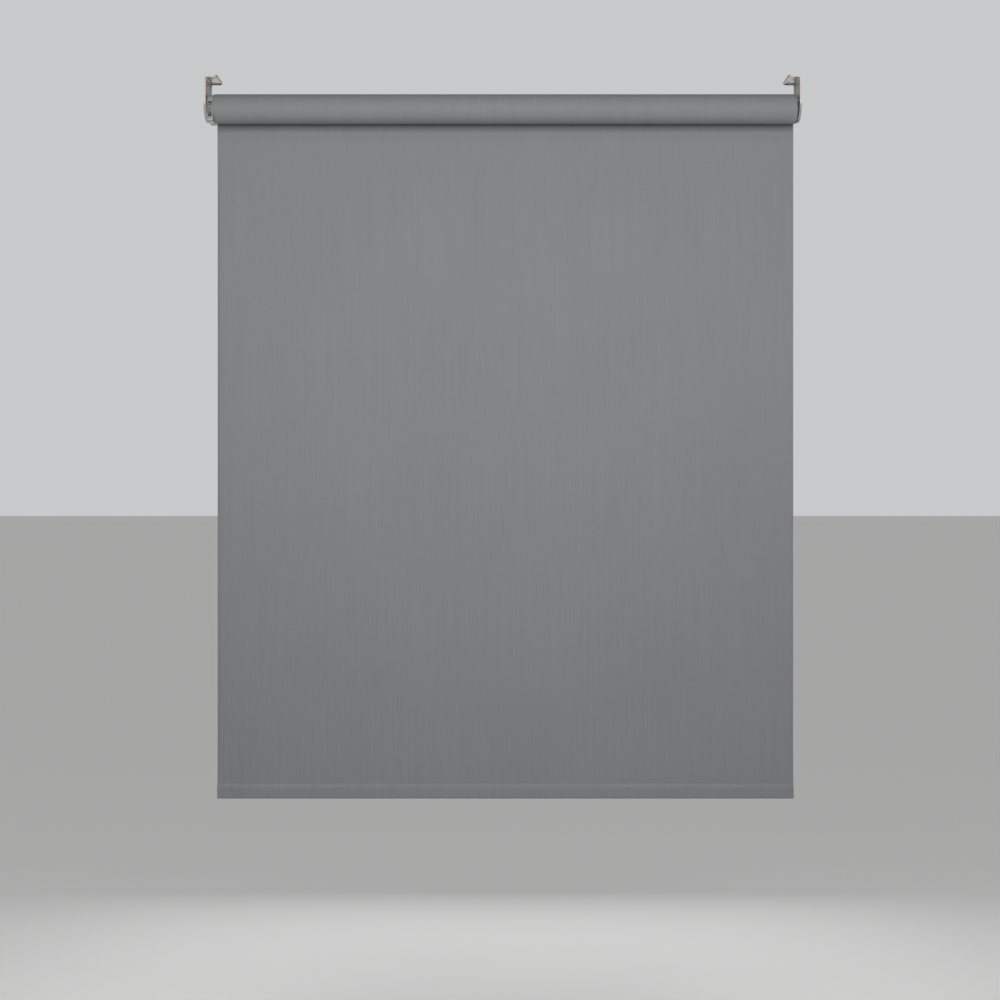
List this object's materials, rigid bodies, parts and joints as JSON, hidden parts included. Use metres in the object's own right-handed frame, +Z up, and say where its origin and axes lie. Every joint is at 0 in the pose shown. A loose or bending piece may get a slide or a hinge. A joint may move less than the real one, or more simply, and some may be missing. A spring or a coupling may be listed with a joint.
{
  "type": "roller blind",
  "caption": "Roller blind with a grey cloth drop wound over a tube, a side-winding chain wheel at its left end and ceiling-fixed steel brackets.",
  "frame": {"origin": "on the ceiling plane that the bracket tops rest on, midway between the brackets' outer faces and level with their mid-depth, straight above the roller axis", "axes": "+X along the roller towards the idle end (the viewer's right), -Y towards the room, +Y towards the window, +Z up"},
  "size_m": [0.885, 0.058, 1.0785],
  "materials": {
    "bracket_steel": "satin zinc plate",
    "control_plastic": "fine moulded satin",
    "wheel_plastic": "smooth moulded",
    "spindle_plastic": "smooth moulded",
    "plug_plastic": "smooth moulded",
    "spline_plastic": "extruded",
    "cap_plastic": "fine moulded satin",
    "plated_steel": "bright zinc plate",
    "spring_steel": "drawn wire",
    "tube_aluminium": "mill",
    "bar_aluminium": "mill",
    "cloth": "coated blackout weave with fine upright slubs"
  },
  "bodies": {
    "head": {"bracket_left": "bracket_steel", "bracket_right": "bracket_steel", "control_housing": "control_plastic", "chain_guard_cover": "control_plastic", "clutch_spindle": "spindle_plastic", "spindle_screw": "plated_steel", "spindle_clip": "spring_steel", "pin_bush": "control_plastic"},
    "chain_wheel": {"chain_wheel": "wheel_plastic", "clutch_spring_inner": "spring_steel", "clutch_spring_outer": "spring_steel"},
    "roller": {"drive_core": "spindle_plastic", "drive_crown": "plug_plastic", "roller_tube": "tube_aluminium", "cloth_spline": "spline_plastic", "rolled_cloth": "cloth", "idle_plug": "plug_plastic", "plug_end_cap": "spindle_plastic", "pin_spring": "spring_steel"},
    "idle_pin": {"idle_pin": "plated_steel", "pin_clip": "spring_steel"},
    "bar": {"drop_cloth": "cloth", "hem_pocket": "cloth", "bottom_bar": "bar_aluminium", "bar_cap_left": "cap_plastic", "bar_cap_right": "cap_plastic"}
  },
  "joints": [
    {"name": "roller_turn", "type": "hinge", "parent": "head", "child": "roller", "pos_m": [0, 0, -0.045], "axis": [1, 0, 0], "range_deg": [-440, 2600]},
    {"name": "chain_wheel_turn", "type": "hinge", "parent": "head", "child": "chain_wheel", "pos_m": [-0.43465, 0, -0.045], "axis": [1, 0, 0], "range_deg": [-440, 2600]},
    {"name": "bar_lift", "type": "slide", "parent": "head", "child": "bar", "axis": [0, 0, 1], "range_m": [-0.1655, 0.976], "deforming": ["drop_cloth"]},
    {"name": "idle_pin_slide", "type": "slide", "parent": "roller", "child": "idle_pin", "axis": [-1, 0, 0], "range_m": [0, 0.0036], "stiffness_N_per_m": 1500, "springref_m": -0.003, "deforming": ["pin_spring"]}
  ],
  "couplings": [
    {"joint": "chain_wheel_turn", "follows": "roller_turn", "ratio": 1},
    {"joint": "bar_lift", "follows": "roller_turn", "m_per_rad": 0.0215}
  ]
}
